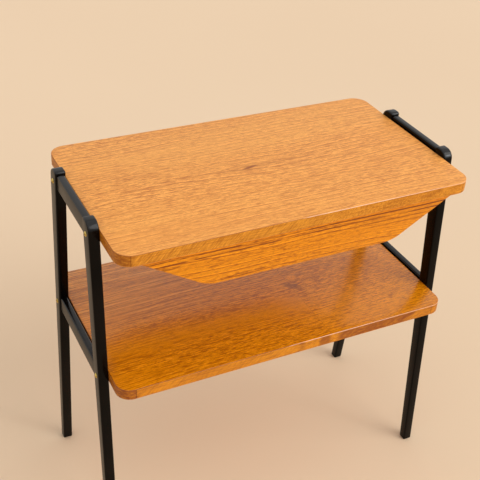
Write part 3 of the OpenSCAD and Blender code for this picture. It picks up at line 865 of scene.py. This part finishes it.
board("top_board", "top_core", "top_lipping", TOP_CORNER, TOP, "teak_top")
board("shelf_board", "shelf_core", "shelf_lipping", SHELF_CORNER, SHELF, "teak_shelf")

# %% [markdown]
# The lipping is a ring. The same rounded box, a veneer thinner on each side, has both faces inset by the
# lipping's width; the inner faces are deleted and the two open rims are bridged.

# %% Lippings
def lipping(name, node, radius, finish):
    low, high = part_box(node)
    veneer = Vector((0, 0, VENEER))
    ring = rounded_block(name, low + veneer, high - veneer, radius)
    editing(True)
    pick(ring, "FACE", lambda middle, normal: abs(normal.z) > 0.9)
    bpy.ops.mesh.inset(thickness=LIPPING, depth=0)
    bpy.ops.mesh.delete(type="FACE")
    bpy.ops.mesh.select_mode(type="EDGE")
    bpy.ops.mesh.select_non_manifold()
    bpy.ops.mesh.bridge_edge_loops()
    face_outwards()
    editing(False)
    ease(ring, 0.12 * MM, 1)
    done(ring, "table", finish, "teak_edge", node)


lipping("top_edge_band", "top_lipping", TOP_CORNER, TOP_EDGE)
lipping("shelf_edge_band", "shelf_lipping", SHELF_CORNER, SHELF_EDGE)

# %% [markdown]
# ## The ladder frames
# The sides of a leg slope, and its rounded head hides where they would end. A slope that is typed in would
# be wrong as soon as the CAD changed, so the CAD piece is cut at two heights, and the straight line
# through both cuts gives the side at any height.

# %% Measure a slope on a CAD piece
def cut(node, height, axis):
    """Lowest and highest X (axis 0) or Y (axis 1) of a CAD node where a level plane cuts it."""
    mesh = frame["nodes"][node].data
    crossed = []
    for edge in mesh.edges:
        ends = [mesh.vertices[index].co for index in edge.vertices]
        low, high = sorted(ends, key=lambda end: end.z)
        if low.z <= height <= high.z and high.z > low.z:
            crossed.append(low.lerp(high, (height - low.z) / (high.z - low.z))[axis])
    return min(crossed), max(crossed)


def sides_at(node, height, first, second):
    """Both Y of a node's sides at a height, along the straight lines through its cuts at two others."""
    share = (height - first) / (second - first)
    return [a + (b - a) * share for a, b in zip(cut(node, first, 1), cut(node, second, 1))]


# %% [markdown]
# Legs and rails are both battens whose ends in Y slope. A box gets the width of the bottom, and then the
# two pairs of top corners slide to where they belong. Scaling the top would move both by the same amount,
# and a leg leans.

# %% Tapered batten
def tapered(name, low, high, at_low, at_high):
    """A box whose ends in Y run from one pair of places at the bottom to another at the top."""
    piece = block(name, (low.x, at_low[0], low.z), (high.x, at_low[1], high.z))
    near = 0.1 * MM
    editing(True)
    for start, end in zip(at_low, at_high):
        pick(piece, "VERT", lambda corner, _: corner.z > high.z - near and abs(corner.y - start) < near)
        bpy.ops.transform.translate(value=(0, end - start, 0))
    editing(False)
    return piece


# %% [markdown]
# A leg leans out towards the floor and stands a little above the top, with a rounded shoulder outside and
# a small round inside. The two cross edges of its head are bevelled in many steps, each with its own
# radius. The outer corner is wider than square, so its offset is a little less than the radius. A Bevel
# modifier then eases the long arrises, generously, because lacquer softens them.

# %% Legs
SHOULDER, WIDE_CORNER = 14.5 * MM, 0.93
INNER_CORNER = 5 * MM
LEG_CUTS = (20 * MM, 300 * MM)


def leg(node):
    low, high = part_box(node)
    at_foot, at_head = [sides_at(node, level, *LEG_CUTS) for level in (0, high.z)]
    inner, outer = sorted(at_head, key=abs)
    piece = tapered(node.replace("leg", "lacquered_leg"), low, high, at_foot, at_head)
    editing(True)
    for place, radius, steps in ((outer, SHOULDER * WIDE_CORNER, 12), (inner, INNER_CORNER, 7)):

        def head_edge(middle, direction):
            return abs(direction.x) > 0.9 and middle.z > high.z - MM and abs(middle.y - place) < MM

        pick(piece, "EDGE", head_edge)
        bpy.ops.mesh.bevel(offset=radius, segments=steps, affect="EDGES")
    editing(False)
    ease(piece, 2.4 * MM, 5, sharper_than=50)
    done(piece, "table", LACQUER, "black_lacquer", node)


for row in ("front", "rear"):
    for side in ("left", "right"):
        leg("leg_" + row + "_" + side)

# %% [markdown]
# Each rail is let in between two legs, so its ends follow their slope and stay sharp against them. Only
# the four long arrises are eased, a little more than on the legs, because hands lift the table by them.

# %% Rails
def rail(node):
    low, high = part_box(node)
    inside = 2 * MM
    at_low, at_high = [sides_at(node, level, low.z + inside, high.z - inside) for level in (low.z, high.z)]
    piece = tapered(node.replace("rail", "lacquered_rail"), low, high, at_low, at_high)
    editing(True)
    pick(piece, "EDGE", along(1))
    bpy.ops.mesh.bevel(offset=2.6 * MM, segments=5, affect="EDGES")
    editing(False)
    done(piece, "table", LACQUER, "black_lacquer", node)


for level in ("upper", "lower"):
    for side in ("left", "right"):
        rail(level + "_rail_" + side)

# %% [markdown]
# ## Screws
# Round-headed brass screws hold the boards to the frames. The head is a slice of a sphere; it could be
# spun from a curve, but a ball cut level is quicker. The flat that the cut leaves is inset to the shank's
# width and pulled down twice, and the end is drawn in to a point.

# %% Head and shank
def screw_blank(name, head, dome, shank, length):
    """A screw that stands along Z, its head's seat at the origin; head and shank are diameters."""
    ball = (head * head / 4 + dome * dome) / (2 * dome)
    centre = (0, 0, dome - ball)
    bpy.ops.object.select_all(action="DESELECT")
    bpy.ops.mesh.primitive_uv_sphere_add(segments=36, ring_count=48, radius=ball, location=centre)
    piece = settled(name)
    editing(True)
    bpy.ops.mesh.select_all(action="SELECT")
    bpy.ops.mesh.bisect(plane_co=(0, 0, 0), plane_no=(0, 0, 1), clear_inner=True, use_fill=True)
    pick(piece, "FACE", lambda middle, normal: normal.z < -0.9)
    bpy.ops.mesh.inset(thickness=(head - shank) / 2, depth=0)
    for share in (0.75, 0.25):
        bpy.ops.mesh.extrude_region_move(TRANSFORM_OT_translate={"value": (0, 0, -length * share)})
    bpy.ops.transform.resize(value=(0.12, 0.12, 1))
    editing(False)
    return piece


# %% [markdown]
# The slot is sawn across the head. Its sharp rim would be hard to get by extruding a round mesh, so a thin
# block is taken away with a Boolean modifier.

# %% Slot
def saw_slot(piece, head, dome):
    half_width = head * 0.15 / 2
    saw = block("saw", (-head, -half_width, dome * 0.25), (head, half_width, dome * 2))
    slot = piece.modifiers.new("slot", "BOOLEAN")
    slot.operation = "DIFFERENCE"
    slot.solver = "EXACT"
    slot.object = saw
    select_only(piece)
    bpy.ops.object.modifier_apply(modifier=slot.name)
    bpy.data.objects.remove(saw)


# %% [markdown]
# The CAD keeps the four screws of a board in one node. Its corners are sorted by quarter of the plan, and
# the box of a quarter gives one screw's middle and length. A copy is made by the Duplicate operator.

# %% Find and copy
QUARTERS = [(-1, -1), (1, -1), (-1, 1), (1, 1)]


def quarter(node, side, row):
    """The box of a node's corners in one quarter: side is -1 left or 1 right, row -1 front or 1 rear."""
    places = [corner.co for corner in frame["nodes"][node].data.vertices]
    places = [place for place in places if place.x * side > 0 and place.y * row > 0]
    return Vector(map(min, zip(*places))), Vector(map(max, zip(*places)))


def copy_of(original):
    """A copy with its own mesh, left selected and active."""
    select_only(original)
    bpy.ops.object.duplicate()
    return bpy.context.object


# %% [markdown]
# The screw is modelled once and copied. Each copy is turned to look out of its leg, with its slot at
# another angle, as on real ones, and the four are joined. The point stops a little short of the CAD
# screw's end, so it stays in the wood.

# %% Brass screws of the frames
HEAD, DOME, SHANK, SHORT_OF_END = 8 * MM, 2.4 * MM, 4 * MM, 1.6 * MM


def frame_screws(name, node, slot_turns):
    low, high = quarter(node, *QUARTERS[0])
    first = screw_blank(name, HEAD, DOME, SHANK, high.x - low.x - DOME - SHORT_OF_END)
    saw_slot(first, HEAD, DOME)
    screws = [first, copy_of(first), copy_of(first), copy_of(first)]
    for piece, (side, row), slot_turn in zip(screws, QUARTERS, slot_turns):
        low, high = quarter(node, side, row)
        seat = (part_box("leg_front_right")[1].x * side, (low.y + high.y) / 2, (low.z + high.z) / 2)
        outwards = Vector((side, 0, 0)).to_track_quat("Z", "Y").to_matrix().to_4x4()
        slot_angle = Matrix.Rotation(math.radians(slot_turn), 4, "Z")
        piece.data.transform(Matrix.Translation(seat) @ outwards @ slot_angle)
    select_only(*screws)
    bpy.ops.object.join()
    done(first, "table", BRASS, "brass", node)


frame_screws("brass_screws_top", "top_screws", (20, 75, -35, 50))
frame_screws("brass_screws_shelf", "shelf_screws", (-60, 15, 80, -20))

# %% [markdown]
# ## The drawer front
# The front is one board shaped like a boat: long at the top, with ends that slope in to a shorter bottom
# edge through round corners. A box is made, its bottom corners are slid in, and the two corner edges are
# rolled into arcs. The slope is measured on the CAD front by cutting it at two heights.

# %% Drawer front
BILGE = 50 * MM


def boat_front(name, node):
    low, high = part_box(node)
    upper, lower = high.z - 5 * MM, high.z - 30 * MM
    slope = (cut(node, upper, 0)[1] - cut(node, lower, 0)[1]) / (upper - lower)
    top_half = cut(node, upper, 0)[1] + slope * (high.z - upper)
    inwards = slope * (high.z - low.z)
    piece = block(name, (-top_half, low.y, low.z), (top_half, high.y, high.z))
    editing(True)
    for side in (-1, 1):
        pick(piece, "VERT", lambda corner, _: corner.z < low.z + MM and corner.x * side > 0)
        bpy.ops.transform.translate(value=(-side * inwards, 0, 0))
    pick(piece, "EDGE", lambda middle, direction: abs(direction.y) > 0.9 and middle.z < low.z + MM)
    turn_angle = math.atan2(1, slope)
    bpy.ops.mesh.bevel(offset=BILGE * math.tan(turn_angle / 2), segments=18, affect="EDGES")
    editing(False)
    ease(piece, 0.7 * MM, 3)
    done(piece, "drawer", FRONT, "teak_front", node)


boat_front("boat_front", "drawer_front")

# %% [markdown]
# ## Joinery copied from the CAD
# The drawer's back, sides, trays, dividers and runners already have their right shapes, with grooves and
# finger notches. A copy of such a mesh is merged, because it comes as loose triangles, its flat faces are
# dissolved into one each, and its arrises are eased.

# %% Eased copies
def eased_copy(node, body, finish, slot, width=0.5 * MM):
    piece = copy_of(frame["nodes"][node])
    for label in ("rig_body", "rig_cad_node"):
        del piece[label]
    bpy.ops.object.parent_clear(type="CLEAR_KEEP_TRANSFORM")
    piece.name = piece.data.name = "eased_" + node
    if piece.data.has_custom_normals:
        bpy.ops.mesh.customdata_custom_splitnormals_clear()
    editing(True)
    bpy.ops.mesh.select_all(action="SELECT")
    bpy.ops.mesh.remove_doubles(threshold=0.01 * MM)
    bpy.ops.mesh.dissolve_limited(angle_limit=math.radians(1))
    editing(False)
    ease(piece, width)
    done(piece, body, finish, slot, node)


# %% [markdown]
# The drawer is a box without a top. Its sides slant, and its bottom and dividers are thin plywood. It
# hangs by two beech lips, each held to its side by a web, and carries the tray ledges. Thin sheets get a
# finer arris than planed wood.

# %% Drawer box
eased_copy("drawer_back", "drawer", BACK, "teak_front")
for side in ("left", "right"):
    eased_copy("drawer_side_" + side, "drawer", SIDES, "teak_edge")
    eased_copy("drawer_lip_" + side, "drawer", BEECH, "beech")
    eased_copy("drawer_web_" + side, "drawer", BEECH, "beech", width=0.3 * MM)
for end in ("front", "rear"):
    eased_copy("tray_ledge_" + end, "drawer", BEECH_X, "beech", width=0.4 * MM)
eased_copy("drawer_bottom", "drawer", BOTTOM_PLY, "plywood", width=0.2 * MM)
for divider in DIVIDERS:
    eased_copy(divider, "drawer", DIVIDER_PLY[divider], "plywood", width=0.4 * MM)

# %% [markdown]
# Each of the two trays has a plywood base, four teak walls and two dividers, and slides on the ledges
# inside the drawer. A tray is a body of its own, so all of its pieces ride on it. The walls are handled
# most, and get the widest arris.

# %% Trays
for side in ("left", "right"):
    tray = "tray_" + side
    eased_copy(tray + "_base", tray, TRAY_PLY, "plywood", width=0.2 * MM)
    eased_copy(tray + "_dividers", tray, TRAY_PLY, "plywood", width=0.4 * MM)
    for wall in ("outer", "inner"):
        eased_copy(tray + "_" + wall + "_wall", tray, TRAY_CROSS, "teak_tray", width=0.6 * MM)
    for wall in ("front", "rear"):
        eased_copy(tray + "_" + wall + "_wall", tray, TRAY_LONG, "teak_tray", width=0.6 * MM)

# %% [markdown]
# Under the top, the drawer's lips lie on two beech runners, each a spacer batten and a ledge, and a block
# at the front and one at the rear end its travel. All of these stay with the table when it opens.

# %% Runners and stops under the top
for side in ("left", "right"):
    eased_copy("runner_spacer_" + side, "table", BEECH, "beech")
    eased_copy("runner_ledge_" + side, "table", BEECH, "beech")
for end in ("front", "rear"):
    eased_copy(end + "_stop", "table", BEECH_X, "beech", width=0.6 * MM)

# %% [markdown]
# ## What stays as CAD
# Dowels and the shanks of small screws are nearly all hidden. Their CAD shapes are right, so they only
# get the finish of their material in their material slots.

# %% Finishes of the CAD nodes that stay
for node, finish in {"rail_dowels": BEECH_X, "runner_screws": STEEL, "stop_screws": STEEL}.items():
    frame["nodes"][node].data.materials.clear()
    frame["nodes"][node].data.materials.append(finish)
    print(node, "stays as CAD, finished in", finish.name)
